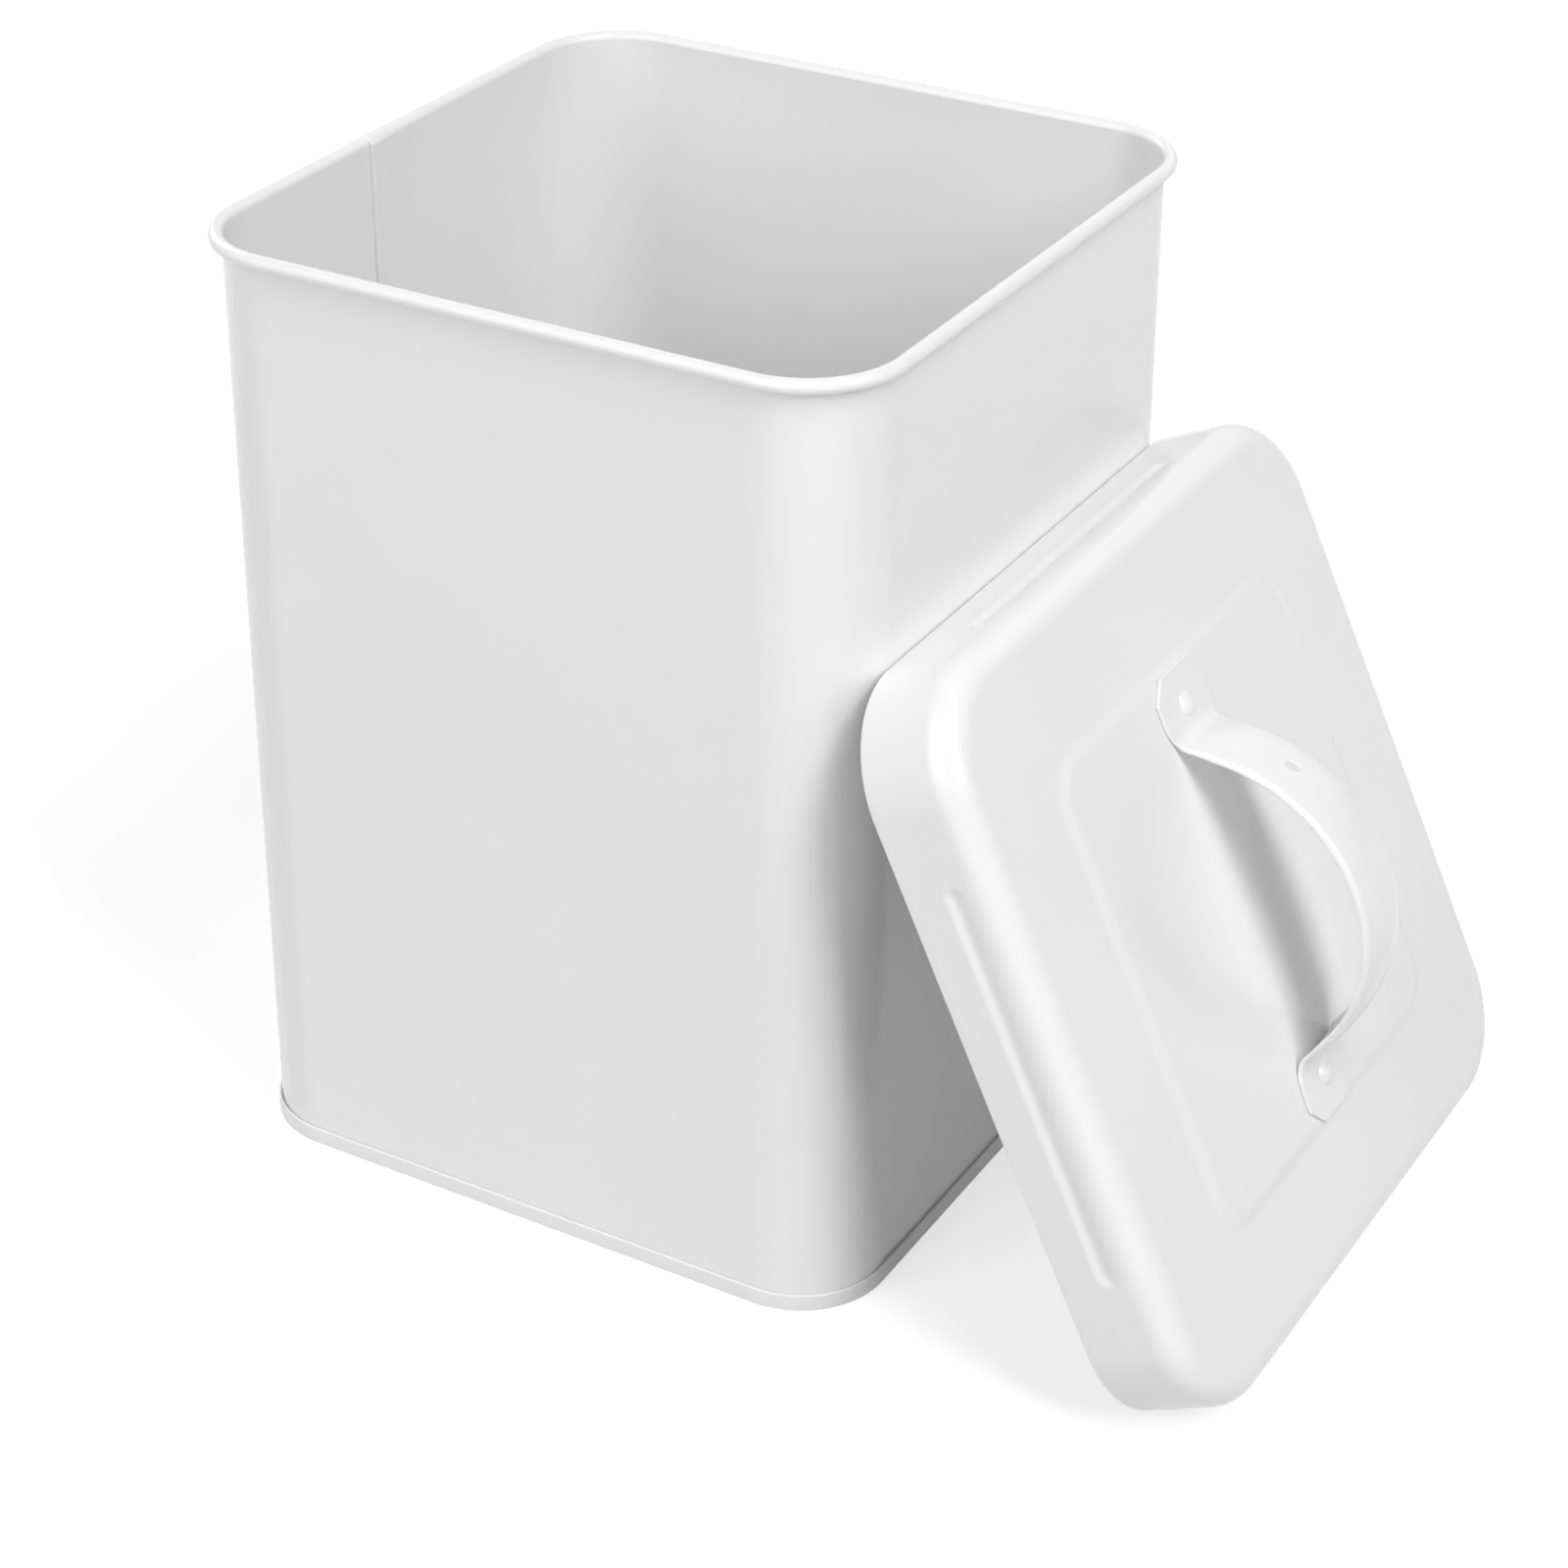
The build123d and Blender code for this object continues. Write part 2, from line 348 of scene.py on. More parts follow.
print("stations round the wall:", len(place_along), "of which on the seam's side:", len(lap_side))


# %% Carry the section round the tin
def swept_wall(stations, outward, height):
    """Each section point moved out from the tin's rounded square by its own distance, at its own height."""
    place, heading = stations
    flat = inner_side * place + (corner_radius + outward)[..., None] * heading
    return np.concatenate([flat, height[..., None]], axis=2)


wall_points = swept_wall(wall_stations, moved[..., 0], moved[..., 1])
wall_faces = ring_faces(*wall_points.shape[:2], closed=True)
tin_wall = make_piece("tin_wall_sheet", wall_points, [wall_faces], "tin_wall", tin_paint)

# %% [markdown]
# ## The base tray
#
# The base is a shallow tray. Its edge is folded into a channel that grips the foot of the wall, and seen from
# outside that fold is the low band with a soft bright top that runs round the tin's foot. The section runs
# from the middle of the underside out to the fold, over it, down into the channel and up onto the floor of
# the tin, and both of its ends close in a pole.

# %% The base's section and its rings
base_sheet = 0.7 * mm
fold_gap = 0.15 * mm
fold_reach = fold_gap + base_sheet
fold_inset = sheet + fold_gap
leg_inset = fold_inset + base_sheet
panel_round = 1.2 * mm
foot_round = 0.3 * mm


def arc(centre_out, centre_up, radius, start, end, count):
    """Points of a circle in the section plane, from one angle to another in degrees, as (outward, up)."""
    angle = np.radians(np.linspace(start, end, count))
    return np.stack([centre_out + radius * np.cos(angle), centre_up + radius * np.sin(angle)], axis=1)


ceiling = panel_height - base_sheet
inner_round = panel_round - base_sheet
ridge = base_sheet / 2
base_section = np.vstack([
    arc(-leg_inset - inner_round, ceiling - inner_round, inner_round, 90, 0, 6),
    [[-leg_inset, hair], [-leg_inset + hair, 0], [fold_reach - foot_round - hair, 0]],
    arc(fold_reach - foot_round, foot_round, foot_round, -90, 0, 8),
    [[fold_reach, fold_height - ridge - support]],
    arc(fold_reach - ridge, fold_height - ridge, ridge, 0, 180, 18),
    [[fold_gap, base_sheet], [-fold_inset, base_sheet], [-fold_inset, panel_height - panel_round - support]],
    arc(-fold_inset - panel_round, panel_height - panel_round, panel_round, 0, 90, 12),
])
inward_shares = np.array([0.08, 0.5, 0.98])
floor_start = half_body + base_section[-1, 0]
ceiling_start = half_body + base_section[0, 0]
inner_rows = len(inward_shares)
half = np.concatenate([
    ceiling_start * inward_shares,
    half_body + base_section[:, 0],
    floor_start * inward_shares[::-1],
])
height = np.concatenate([np.full(inner_rows, ceiling), base_section[:, 1], np.full(inner_rows, panel_height)])
corner = corner_radius - half_body + half
corner[:inner_rows] = corner[inner_rows] * inward_shares
corner[-inner_rows:] = corner[-inner_rows - 1] * inward_shares[::-1]
base_stations = outline_stations([plain_side] * 4, tin_corner_steps)
base_rings = rounded_squares(half, corner, height, base_stations)
rows, columns = base_rings.shape[:2]
poles = np.array([[0, 0, ceiling], [0, 0, panel_height]])
base_points = np.vstack([base_rings.reshape(-1, 3), poles])
base_faces = [
    ring_faces(rows, columns),
    pole_faces(rows * columns, 0, columns, False),
    pole_faces(rows * columns + 1, (rows - 1) * columns, columns, True),
]
tin_base = make_piece("tin_base_tray", base_points, base_faces, "tin_base", base_paint)

# %% [markdown]
# ## The lid
#
# The lid is one pressing: a skirt with a hem, a broad rounded shoulder, a flat top with a slightly raised
# square panel, and a long bead pressed into each side of the skirt to keep it from drumming. Again one
# section line gives all of it, from the middle of the inside out to the hem and back over the outside. The
# beads are a move of the skirt's skin, a soft trough whose depth falls off with the distance from a line.

# %% The lid's section
lid_sheet = 0.6 * mm
shoulder = 7.0 * mm
hem_height = 3.5 * mm
raised_half = 59.52 * mm
raised_corner = 12.0 * mm
raised_slope = 3.0 * mm
slope_soft = 0.8 * mm


def lid_side(inset):
    """Inset and height of the shoulder for a skin some way into the sheet, from the skirt to the top."""
    radius = shoulder - inset
    return arc(0, lid_depth - shoulder, radius, 0, 90, 18) + [-shoulder, 0]


def flat_rows(skin):
    """Half width, corner and height of the rows over the flat top and the raised panel, from the rim inwards.

    Between shoulder and panel the half width and the corner blend evenly. Over the slope the height follows a
    smooth step. Inside it they shrink together towards the middle.
    """
    over = np.array([0.01, 0.35, 0.7, 0.97])
    rim_half, rim_corner = half_lid - shoulder, lid_corner - shoulder
    outer_half, outer_corner = raised_half + slope_soft, raised_corner + slope_soft
    over_half = rim_half + over * (outer_half - rim_half)
    over_corner = rim_corner + over * (outer_corner - rim_corner)
    share = np.linspace(0, 1, 18)
    fall = raised_slope + 2 * slope_soft
    slope_half, slope_corner = outer_half - share * fall, outer_corner - share * fall
    rise = raised_rise * share * share * (3 - 2 * share)
    inner = np.array([0.985, 0.6, 0.25, 0.04])
    inner_half, inner_corner = slope_half[-1] * inner, slope_corner[-1] * inner
    panel_rises = np.concatenate([np.zeros(len(over)), rise, np.full(len(inner), raised_rise)])
    heights = panel_rises + lid_depth - skin
    halves = np.concatenate([over_half, slope_half, inner_half])
    corners = np.concatenate([over_corner, slope_corner, inner_corner])
    return np.stack([halves, corners, heights], axis=1)


def skirt_rows(line):
    """Rows of the skirt and shoulder: a point inset from the lid's outline has a corner as much smaller."""
    return np.stack([half_lid + line[:, 0], lid_corner + line[:, 0], line[:, 1]], axis=1)


hem_round = lid_sheet
skirt_top = lid_depth - shoulder
inside_count, outside_count = 30, 36
inside_skirt = np.linspace(skirt_top - support, hem_height + 2 * hair, inside_count)
outside_skirt = np.linspace(hem_round + support, skirt_top - support, outside_count)
inside_line = np.stack([np.full(inside_count, -lid_sheet), inside_skirt], axis=1)
outside_line = np.stack([np.zeros(outside_count), outside_skirt], axis=1)
hem_line = np.vstack([
    [[-lid_sheet, hem_height + hair]],
    arc(-1.5 * lid_sheet, hem_height - lid_sheet / 2, lid_sheet / 2, 90, 180, 6),
    [[-2 * lid_sheet, hem_round + support]],
    arc(-hem_round, hem_round, hem_round, 180, 360, 16),
])
lid_rows = np.vstack([
    flat_rows(lid_sheet)[::-1],
    skirt_rows(lid_side(lid_sheet)[::-1]),
    skirt_rows(inside_line),
    skirt_rows(hem_line),
    skirt_rows(outside_line),
    skirt_rows(lid_side(0.0)),
    flat_rows(0.0),
])
print("lid section:", len(lid_rows), "rows")

# %% The beads in the skirt, and the lid itself
bead_length = 99.0 * mm
bead_height = 13.0 * mm
bead_half = 3.1 * mm
bead_depth = 0.9 * mm
bead_end = bead_length / 2 - bead_half
lid_inner_side = half_lid - lid_corner


def bead_trough(along, up):
    """Depth of the bead at a place on the skirt: a raised cosine of the distance from its middle line."""
    past_end = np.maximum(np.abs(along) - bead_end, 0)
    distance = np.sqrt(past_end**2 + (up - bead_height) ** 2)
    return bead_depth * 0.5 * (1 + np.cos(pi * np.clip(distance / bead_half, 0, 1)))


end_zone = np.linspace(-bead_half, bead_half, 15) + bead_end
middle_zone = np.linspace(-bead_end, bead_end, 17)[4:-4]
bead_places = np.concatenate([-end_zone[::-1], middle_zone, end_zone]) / lid_inner_side
bead_side = np.unique(np.round(np.concatenate([[-1, flat_end - 1, 1 - flat_end, 1], bead_places]), 9))
lid_corner_steps = 28
lid_stations = outline_stations([bead_side] * 4, lid_corner_steps)
lid_place, lid_heading = lid_stations
straight = np.isclose(np.abs(lid_heading).max(axis=1), 1.0)
along_side = (lid_place * lid_heading[:, ::-1]).sum(axis=1) * lid_inner_side
rows_up = lid_rows[:, 2]
on_skirt = (lid_rows[:, 0] > half_lid - 1.5 * lid_sheet) & (rows_up > hem_height) & (rows_up < skirt_top)
trough = bead_trough(along_side[None, :], rows_up[:, None]) * on_skirt[:, None] * straight[None, :]
lid_rings = rounded_squares(lid_rows[:, 0], lid_rows[:, 1], rows_up, lid_stations)
lid_rings[..., :2] -= trough[..., None] * lid_heading
rows, columns = lid_rings.shape[:2]
poles = np.array([[0, 0, lid_depth - lid_sheet + raised_rise], [0, 0, lid_depth + raised_rise]])
lid_points = from_lid(np.vstack([lid_rings.reshape(-1, 3), poles]))
lid_faces = [
    ring_faces(rows, columns),
    pole_faces(rows * columns, 0, columns, False),
    pole_faces(rows * columns + 1, (rows - 1) * columns, columns, True),
]
lid_piece = make_piece("lid_pressing", lid_points, lid_faces, "lid", lid_paint)

# %% [markdown]
# ## The strap handle
#
# The handle is a strap of thicker sheet, arched to take four fingers, with two flat feet. It is crowned a
# little across its width, and its long edges are rolled down so that they don't cut the hand: fully over the
# arch, not at all at the feet. A curve with a bevel object would keep one section all the way. Here the
# section is a function of the place along the strap, so the roll can open and the feet's corners can be cut.

# %% The strap's side view
strap_half = 10.0 * mm
foot_half = 11.75 * mm
strap_sheet = 1.0 * mm
half_sheet = strap_sheet / 2
arch_radius = 43.5 * mm - half_sheet
arch_height = 32.5 * mm - half_sheet
arch_centre = arch_height - arch_radius
bend_radius = 4.0 * mm + half_sheet
bend_height = half_sheet + bend_radius
bend_place = sqrt((arch_radius + bend_radius) ** 2 - (bend_height - arch_centre) ** 2)
arch_end = atan2(bend_place, bend_height - arch_centre)
neck_length = 3.0 * mm
neck_end = bend_place + neck_length
rivet_gap = 3.5 * mm
rivet_place = bend_place + rivet_gap
foot_past_rivet = 9.3 * mm
foot_reach = rivet_place + foot_past_rivet
foot_chamfer = 5.0 * mm
hole_angle = radians(42)
hole_radius = 1.7 * mm
hole_frame = 3.4 * mm
hole_steps = 8
hole_half_angle = hole_frame / arch_radius


def on_arch(angle, lift):
    """Up and out of a point on the arch: its centre plus radius and lift along the angle's direction."""
    radius = arch_radius + lift
    return np.stack([radius * np.sin(angle), arch_centre + radius * np.cos(angle)], axis=-1)


foot_steps = np.concatenate([
    [0, 0.25 * mm],
    np.linspace(0.6 * mm, foot_chamfer, 6),
    [foot_chamfer + support],
])
foot_places = np.concatenate([foot_steps, np.linspace(8 * mm, foot_reach - bend_place - support, 4)])
below_hole_count = 60
arch_angles = np.concatenate([
    np.linspace(-arch_end, hole_angle - hole_half_angle, below_hole_count)[:-1],
    np.linspace(hole_angle - hole_half_angle, hole_angle + hole_half_angle, hole_steps + 1),
    np.linspace(hole_angle + hole_half_angle, arch_end, 14)[1:],
])
bend_angles = np.linspace(arch_end, 0, 14)[1:]
upper_bend = np.stack([
    bend_place - bend_radius * np.sin(bend_angles),
    bend_height - bend_radius * np.cos(bend_angles),
], axis=1)
upper_foot = np.stack([foot_reach - foot_places[::-1], np.full(len(foot_places), half_sheet)], axis=1)
mirror = np.array([-1.0, 1.0])
strap_line = np.vstack([
    (upper_foot * mirror)[::-1],
    (upper_bend * mirror)[::-1],
    on_arch(arch_angles, 0.0),
    upper_bend,
    upper_foot,
])
feet_flat = np.zeros(len(foot_places))
strap_turn = np.concatenate([feet_flat, -bend_angles[::-1], arch_angles, bend_angles, feet_flat])
strap_facing = np.stack([np.sin(strap_turn), np.cos(strap_turn)], axis=1)
print("strap:", len(strap_line), "stations, arch to", round(degrees(arch_end), 1), "degrees")

# %% The strap's section, from its rolled edges to its flat feet
crown_radius = 40.0 * mm
roll_radius = 1.1 * mm
roll_most = radians(80)
unroll_length = 3.0 * mm
widen_length = 1.0 * mm
tip_round = 0.2 * mm
roll_count, flat_count, cap_count = 8, 5, 7


def smooth_step(value, start, end):
    """Nought before the start and one past the end, with a soft rise between them."""
    share = np.clip((value - start) / (end - start), 0, 1)
    return share * share * (3 - 2 * share)


def crowned(distance, bow):
    """Across, up and turn of a place on a line that bows down as an arc of the given curvature."""
    turn = bow * distance
    return distance * np.sinc(turn / pi), -distance * np.sin(turn / 2) * np.sinc(turn / (2 * pi)), turn


reach = np.abs(strap_line[:, 0])
from_tip = foot_reach - reach
bend_start = arch_radius * sin(arch_end)
rolled = 1 - smooth_step(reach, bend_start - unroll_length, bend_place)
roll, bow = roll_most * rolled, rolled[:, None] / crown_radius
cut = np.maximum(foot_chamfer - from_tip, 0)
tip_ease = np.where(from_tip < tip_round, tip_round, 0.0)
widening = smooth_step(reach, bend_start - widen_length, neck_end)
width = strap_half + widening * (foot_half - strap_half) - cut - tip_ease
skin = half_sheet - tip_ease
flat_half = width - (roll_radius + skin) * np.sin(roll) - skin * np.cos(roll)
spread = np.linspace(-hole_frame, hole_frame, hole_steps + 1)
outer_share = np.linspace(0, 1, flat_count + 1)[1:]
right_flat = hole_frame + outer_share * (flat_half[:, None] - hole_frame)
flat_across = np.concatenate([-right_flat[:, ::-1], np.tile(spread, (len(roll), 1)), right_flat], axis=1)
crown_across, crown_up, crown_turn = crowned(flat_across, bow)
edge_across, edge_up, edge_turn = crowned(flat_half[:, None], bow)
roll_turn = edge_turn + (roll[:, None] - edge_turn) * np.linspace(0, 1, roll_count + 1)[1:]
roll_across = edge_across + roll_radius * (np.sin(roll_turn) - np.sin(edge_turn))
roll_drop = edge_up + roll_radius * (np.cos(roll_turn) - np.cos(edge_turn))
middle_across = np.concatenate([-roll_across[:, ::-1], crown_across, roll_across], axis=1)
middle_up = np.concatenate([roll_drop[:, ::-1], crown_up, roll_drop], axis=1)
middle_turn = np.concatenate([-roll_turn[:, ::-1], crown_turn, roll_turn], axis=1)


def offset_line(distance):
    """The section's middle line moved along its own direction by a distance at each station."""
    across = middle_across + distance[:, None] * np.sin(middle_turn)
    up = middle_up + distance[:, None] * np.cos(middle_turn)
    return np.stack([across, up], axis=2)


def edge_cap(side):
    """A half circle that joins the top skin to the bottom skin round the strap's edge."""
    turn = middle_turn[:, -1:] + np.linspace(0, pi, cap_count + 2)[1:-1]
    across = roll_across[:, -1:] + skin[:, None] * np.sin(turn)
    up = roll_drop[:, -1:] + skin[:, None] * np.cos(turn)
    return np.stack([side * across, up], axis=2)


top_skin, bottom_skin = offset_line(skin), offset_line(-skin)
loop = np.concatenate([top_skin, edge_cap(1.0), bottom_skin[:, ::-1], edge_cap(-1.0)[:, ::-1]], axis=1)
strap_loops = np.concatenate([
    loop[..., :1],
    strap_line[:, None, :] + loop[..., 1:] * strap_facing[:, None, :],
], axis=2)
print("strap section:", loop.shape[1], "points")

# %% [markdown]
# A small hole is drilled through the strap. Blender's Boolean would cut it, and would leave long thin faces
# on a curved surface that shade badly. Instead a square block of faces is left out on both skins, and rings
# of points lead from the square's edge to a circle, through the sheet and out to the square on the other
# side.

# %% The strap's hole and the strap itself
stations_count, loop_count = strap_loops.shape[:2]
first_row = len(foot_places) + len(bend_angles) + below_hole_count - 1
first_top = roll_count + flat_count
skin_count = top_skin.shape[1]
first_bottom = skin_count + cap_count + (skin_count - 1 - first_top)
walk = np.arange(hole_steps)
round_rows = np.concatenate([0 * walk, walk, 0 * walk + hole_steps, hole_steps - walk])
round_columns = np.concatenate([walk, 0 * walk + hole_steps, hole_steps - walk, 0 * walk])
top_edge = (first_row + round_rows) * loop_count + first_top + round_columns
bottom_edge = (first_row + round_rows) * loop_count + first_bottom - round_columns
square = np.stack([round_rows, round_columns], axis=1) / (hole_steps / 2) - 1
circle = square / np.linalg.norm(square, axis=1, keepdims=True)
hole_ease = 0.25 * mm
ring_steps = [(0.4, half_sheet), (0.75, half_sheet), (1.0, half_sheet), (2.0, half_sheet - hole_ease)]
hole_steps_through = ring_steps + [(share, -lift_up) for share, lift_up in ring_steps[::-1]]


def hole_ring(share, lift_up):
    """A ring between the square block's edge and the hole's rounded rim, or of the hole itself past 1."""
    rim = hole_radius + (hole_ease if share <= 1.0 else 0.0)
    blend = min(share, 1.0)
    flat = (1 - blend) * hole_frame * square + blend * rim * circle
    across, drop, turn = crowned(flat[:, 1], 1 / crown_radius)
    side_view = on_arch(hole_angle + flat[:, 0] / arch_radius, drop + lift_up * np.cos(turn))
    return np.concatenate([(across + lift_up * np.sin(turn))[:, None], side_view], axis=1)


hole_rings = np.stack([hole_ring(*step) for step in hole_steps_through])
ring_count, ring_size = hole_rings.shape[:2]
grid = ring_faces(stations_count, loop_count).reshape(stations_count - 1, loop_count, 4)
kept = np.ones(grid.shape[:2], bool)
block = slice(first_row, first_row + hole_steps)
kept[block, first_top:first_top + hole_steps] = False
kept[block, first_bottom - hole_steps:first_bottom] = False
first_ring = stations_count * loop_count
ring_index = first_ring + np.arange(ring_count * ring_size).reshape(ring_count, ring_size)
chain = np.vstack([top_edge[None], ring_index, bottom_edge[None]])
after = np.roll(chain, -1, axis=1)
hole_faces = np.stack([chain[:-1], after[:-1], after[1:], chain[1:]], axis=-1).reshape(-1, 4)
tips = np.stack([np.arange(loop_count), (stations_count - 1) * loop_count + np.arange(loop_count)])
on_lid = np.array([0.0, 0.0, lid_depth + raised_rise])
strap_points = from_lid(np.vstack([strap_loops.reshape(-1, 3), hole_rings.reshape(-1, 3)]) + on_lid)
strap_faces = [grid[kept], hole_faces, tips]
handle = make_piece("lid_handle_strap", strap_points, strap_faces, "lid_handle", handle_paint)


def face_outwards(piece):
    """Turns every face of a closed mesh to point out of it."""
    work = bmesh.new()
    work.from_mesh(piece.data)
    bmesh.ops.recalc_face_normals(work, faces=work.faces)
    work.to_mesh(piece.data)
    work.free()


face_outwards(handle)

# %% [markdown]
# ## The rivets
#
# Two rivets hold the handle: a domed head on each foot and a flat head closed up inside the lid. A sphere cut
# in half would do for the dome, but a turned profile gives the whole rivet: tail, shank and head in one line
# of points, carried round an axis.

# %% Turn the rivets' profile
head_radius = 3.2 * mm
head_height = 1.5 * mm
shank_radius = 1.5 * mm
tail_height = 0.8 * mm
grip = strap_sheet + lid_sheet
dome_radius = (head_radius**2 + head_height**2) / (2 * head_height)
dome_angle = np.arcsin(head_radius / dome_radius)
dome = np.linspace(dome_angle, 0.04, 16)
dome_rise = grip + head_height - dome_radius * (1 - np.cos(dome))
dome_line = np.stack([dome_radius * np.sin(dome), dome_rise], axis=1)
tail_round = 0.3 * mm
rivet_line = np.vstack([
    [[0.1 * head_radius, -tail_height], [head_radius - tail_round - hair, -tail_height]],
    arc(head_radius - tail_round, tail_round - tail_height, tail_round, -90, 0, 6),
    [[head_radius, -hair], [head_radius - hair, 0], [shank_radius, 0]],
    [[shank_radius, grip], [head_radius - hair, grip]],
    dome_line,
])
turn = np.linspace(0, 2 * pi, 48, endpoint=False)


def turned(line, place_up):
    """A profile of (radius, height) turned about an axis out of the lid, at a place up the lid."""
    ring = np.stack([np.cos(turn), np.sin(turn)], axis=1)
    flat = line[:, :1, None] * ring[None]
    height = np.broadcast_to(line[:, 1, None, None], flat.shape[:2] + (1,))
    return np.concatenate([flat, height], axis=2) + [0, place_up, lid_depth + raised_rise - lid_sheet]


rivet_groups, rivet_face_groups, start = [], [], 0
rows, columns = len(rivet_line), len(turn)
for side in (-1, 1):
    rings = turned(rivet_line, side * rivet_place)
    top_of_head = turned(np.array([[0.0, grip + head_height]]), side * rivet_place)[0, 0]
    ends = np.stack([rings[0].mean(axis=0), top_of_head])
    rivet_groups += [rings.reshape(-1, 3), ends]
    rivet_face_groups += [
        ring_faces(rows, columns) + start,
        pole_faces(rows * columns, 0, columns, False) + start,
        pole_faces(rows * columns + 1, (rows - 1) * columns, columns, True) + start,
    ]
    start += rows * columns + 2
rivet_points = from_lid(np.vstack(rivet_groups))
rivets = make_piece("handle_rivet_pair", rivet_points, rivet_face_groups, "handle_rivets", rivet_paint)

# %% [markdown]
# ## Floor, light and camera
#
# The tin stands on a white floor among soft boxes. A tall narrow one at the right is the key: it draws the
# handle's shadow and the bright line on the lid's near corner. Two fill the front, a small low one fills the
# side with the lid, a broad one behind is mirrored by the lid's shoulder and the strap, and one lights the
# hidden left side. A faint sky fills the rest. One big lamp would be simpler, but white paint shows its form
# by what it mirrors. The floor and the sky are white to the camera and to reflections, by the Light Path
# node, and give only their own share of light to the tin, so that the white background doesn't wash out the
# white paint. The floor still takes the shadow.

# %% A white floor that keeps the shadow
floor_half = 4.0
floor_drop = 0.05 * mm
floor_grey = 0.62
floor_glow = 0.60
far_glow = 1.0
near_floor, far_floor = 0.45, 0.9


def seen_directly(tree):
    """One for rays from the camera, from reflections and through glass, and nought for light that spreads."""
    path = tree.nodes.new("ShaderNodeLightPath")
    camera_or_glossy = tree.nodes.new("ShaderNodeMath")
    camera_or_glossy.operation = "MAXIMUM"
    tree.links.new(path.outputs["Is Camera Ray"], camera_or_glossy.inputs[0])
    tree.links.new(path.outputs["Is Glossy Ray"], camera_or_glossy.inputs[1])
    any_of_them = tree.nodes.new("ShaderNodeMath")
    any_of_them.operation = "MAXIMUM"
    tree.links.new(camera_or_glossy.outputs[0], any_of_them.inputs[0])
    tree.links.new(path.outputs["Is Transmission Ray"], any_of_them.inputs[1])
    return any_of_them.outputs[0]


def floor_material():
    """Matt white that the camera sees brighter than it is, so that lit floor is white and shade shows.

    Its glow grows with the distance from the tin, because the lamps light only the middle of the floor.
    """
    material = bpy.data.materials.new("white_floor")
    material.use_nodes = True
    tree = material.node_tree
    shader = tree.nodes["Principled BSDF"]
    shader.inputs["Base Color"].default_value = (floor_grey, floor_grey, floor_grey, 1)
    shader.inputs["Roughness"].default_value = 0.9
    shader.inputs["Specular IOR Level"].default_value = 0.0
    coordinates = tree.nodes.new("ShaderNodeTexCoord")
    distance = tree.nodes.new("ShaderNodeVectorMath")
    distance.operation = "LENGTH"
    tree.links.new(coordinates.outputs["Object"], distance.inputs[0])
    own_glow = tree.nodes.new("ShaderNodeMapRange")
    own_glow.inputs["From Min"].default_value = near_floor
    own_glow.inputs["From Max"].default_value = far_floor
    own_glow.inputs["To Min"].default_value = floor_glow
    own_glow.inputs["To Max"].default_value = far_glow
    tree.links.new(distance.outputs["Value"], own_glow.inputs["Value"])
    glow = tree.nodes.new("ShaderNodeMath")
    glow.operation = "MULTIPLY"
    tree.links.new(seen_directly(tree), glow.inputs[0])
    tree.links.new(own_glow.outputs["Result"], glow.inputs[1])
    shader.inputs["Emission Color"].default_value = (1, 1, 1, 1)
    tree.links.new(glow.outputs[0], shader.inputs["Emission Strength"])
    return material


floor_mesh = bpy.data.meshes.new("floor")
floor_corners = np.array([[-1, -1], [1, -1], [1, 1], [-1, 1]]) * floor_half
floor_mesh.from_pydata(np.c_[floor_corners, np.full(4, -floor_drop)].tolist(), [], [[0, 1, 2, 3]])
floor_mesh.materials.append(floor_material())
floor = bpy.data.objects.new("floor", floor_mesh)
bpy.context.scene.collection.objects.link(floor)
print("floor", 2 * floor_half, "m square")

# %% Sky light and soft boxes
sky_light = 0.03
world = bpy.data.worlds.new("studio_sky")
world.use_nodes = True
bpy.context.scene.world = world
sky = world.node_tree.nodes["Background"]
sky.inputs["Color"].default_value = (1, 1, 1, 1)
sky_strength = world.node_tree.nodes.new("ShaderNodeMapRange")
sky_strength.inputs["To Min"].default_value = sky_light
sky_strength.inputs["To Max"].default_value = 1.0
world.node_tree.links.new(seen_directly(world.node_tree), sky_strength.inputs["Value"])
world.node_tree.links.new(sky_strength.outputs["Result"], sky.inputs["Strength"])


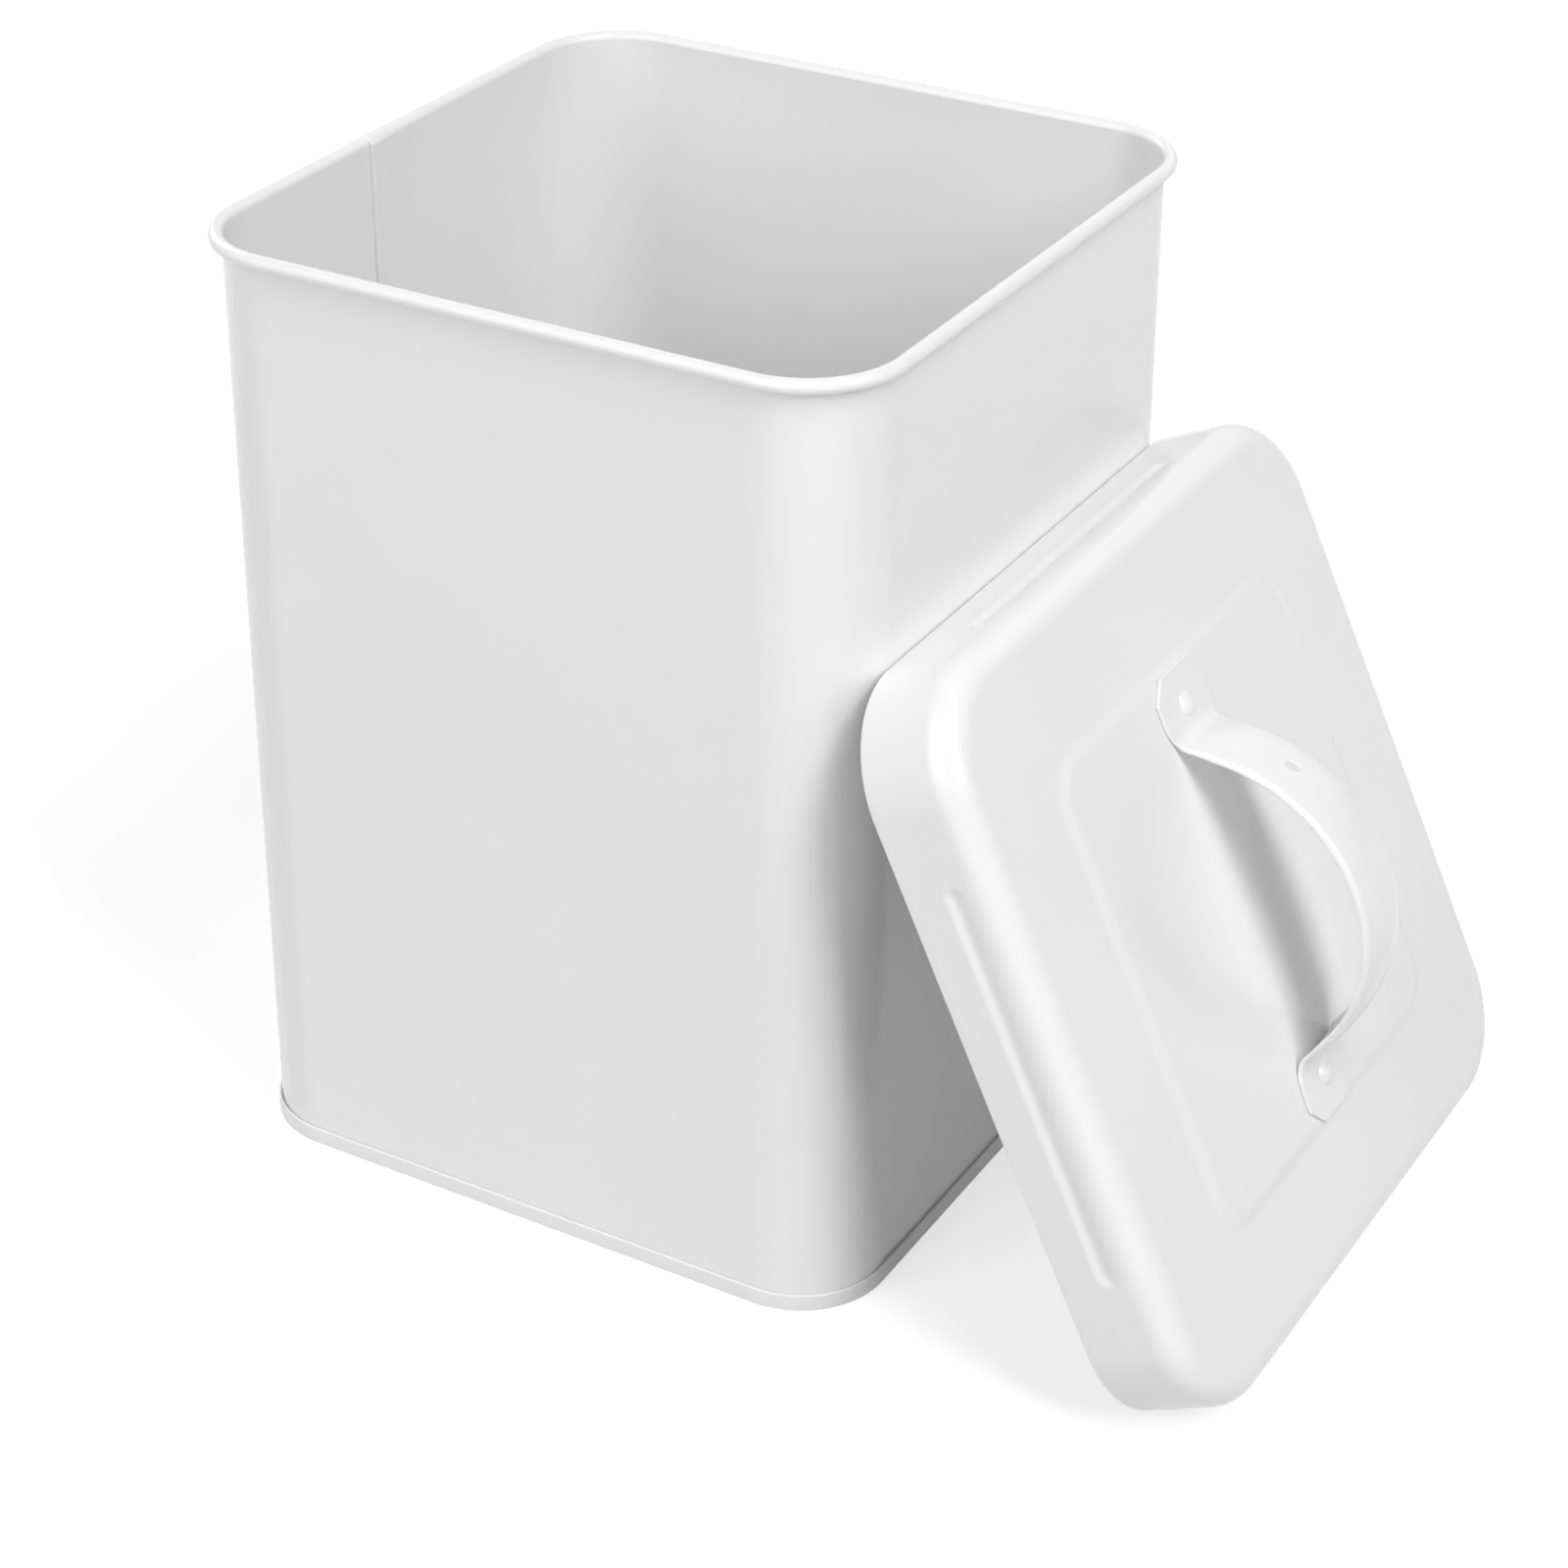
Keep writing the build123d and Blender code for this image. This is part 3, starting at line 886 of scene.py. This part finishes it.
def soft_box(name, turn, rise, wide, tall, watts):
    """An oblong area lamp that faces the tin from a turn round it and a rise over the floor, in degrees."""
    across, up = radians(turn), radians(rise)
    toward = Vector((sin(across) * cos(up), -cos(across) * cos(up), sin(up)))
    lamp = bpy.data.lights.new(name, "AREA")
    lamp.shape = "RECTANGLE"
    lamp.size, lamp.size_y = wide, tall
    lamp.energy = watts
    box = bpy.data.objects.new(name, lamp)
    box.location = lit_middle + lamp_distance * toward
    box.rotation_mode = "QUATERNION"
    box.rotation_quaternion = (-toward).to_track_quat("-Z", "Y")
    bpy.context.scene.collection.objects.link(box)
    print(name, "at", [round(c, 2) for c in box.location], "with", watts, "W")


lit_middle = Vector((0.04, 0.0, 0.11))
lamp_distance = 2.0
soft_box("key_soft_box", 69, 50, 0.6, 1.6, 26.5)
soft_box("front_soft_box", -18, 46, 1.6, 1.4, 10)
soft_box("low_front_soft_box", -10, 20, 2.0, 0.8, 11.5)
soft_box("low_right_soft_box", 85, 22, 0.8, 0.8, 2.4)
soft_box("back_soft_box", 183, 30, 2.4, 1.2, 5.5)
soft_box("left_soft_box", -110, 30, 1.2, 1.2, 10)

# %% [markdown]
# The camera stands where the picture was taken from: a long lens, about a metre away, looking down on the
# corner between the front and the side with the lid. Its place is given as a turn round the tin, a height
# angle and a distance, and a small shift moves the picture in the frame without tilting the upright edges.

# %% The camera
camera_turn = radians(30.89)
camera_rise = radians(28.34)
camera_roll = radians(-0.235)
camera_distance = 918.0 * mm
aim_height = 113.1 * mm
aim_aside = 4.5 * mm
back = Vector((sin(camera_turn) * cos(camera_rise), -cos(camera_turn) * cos(camera_rise), sin(camera_rise)))
right = (-back).cross(Vector((0, 0, 1))).normalized()
upward = right.cross(-back)
rolled_right = cos(camera_roll) * right + sin(camera_roll) * upward
rolled_up = cos(camera_roll) * upward - sin(camera_roll) * right
lens = bpy.data.cameras.new("camera")
lens.sensor_width = 36.0
lens.lens = 85.6
lens.shift_x = 0.0375
lens.shift_y = -0.075
lens.clip_start, lens.clip_end = 0.05, 50.0
camera = bpy.data.objects.new("camera", lens)
turned_to = Matrix((rolled_right, rolled_up, back)).transposed().to_4x4()
camera_place = aim_aside * right + Vector((0, 0, aim_height)) + camera_distance * back
camera.matrix_world = Matrix.Translation(camera_place) @ turned_to
bpy.context.scene.collection.objects.link(camera)
bpy.context.scene.camera = camera
bpy.context.scene.view_settings.view_transform = "Standard"
print("camera at", [round(c, 3) for c in camera.matrix_world.translation])
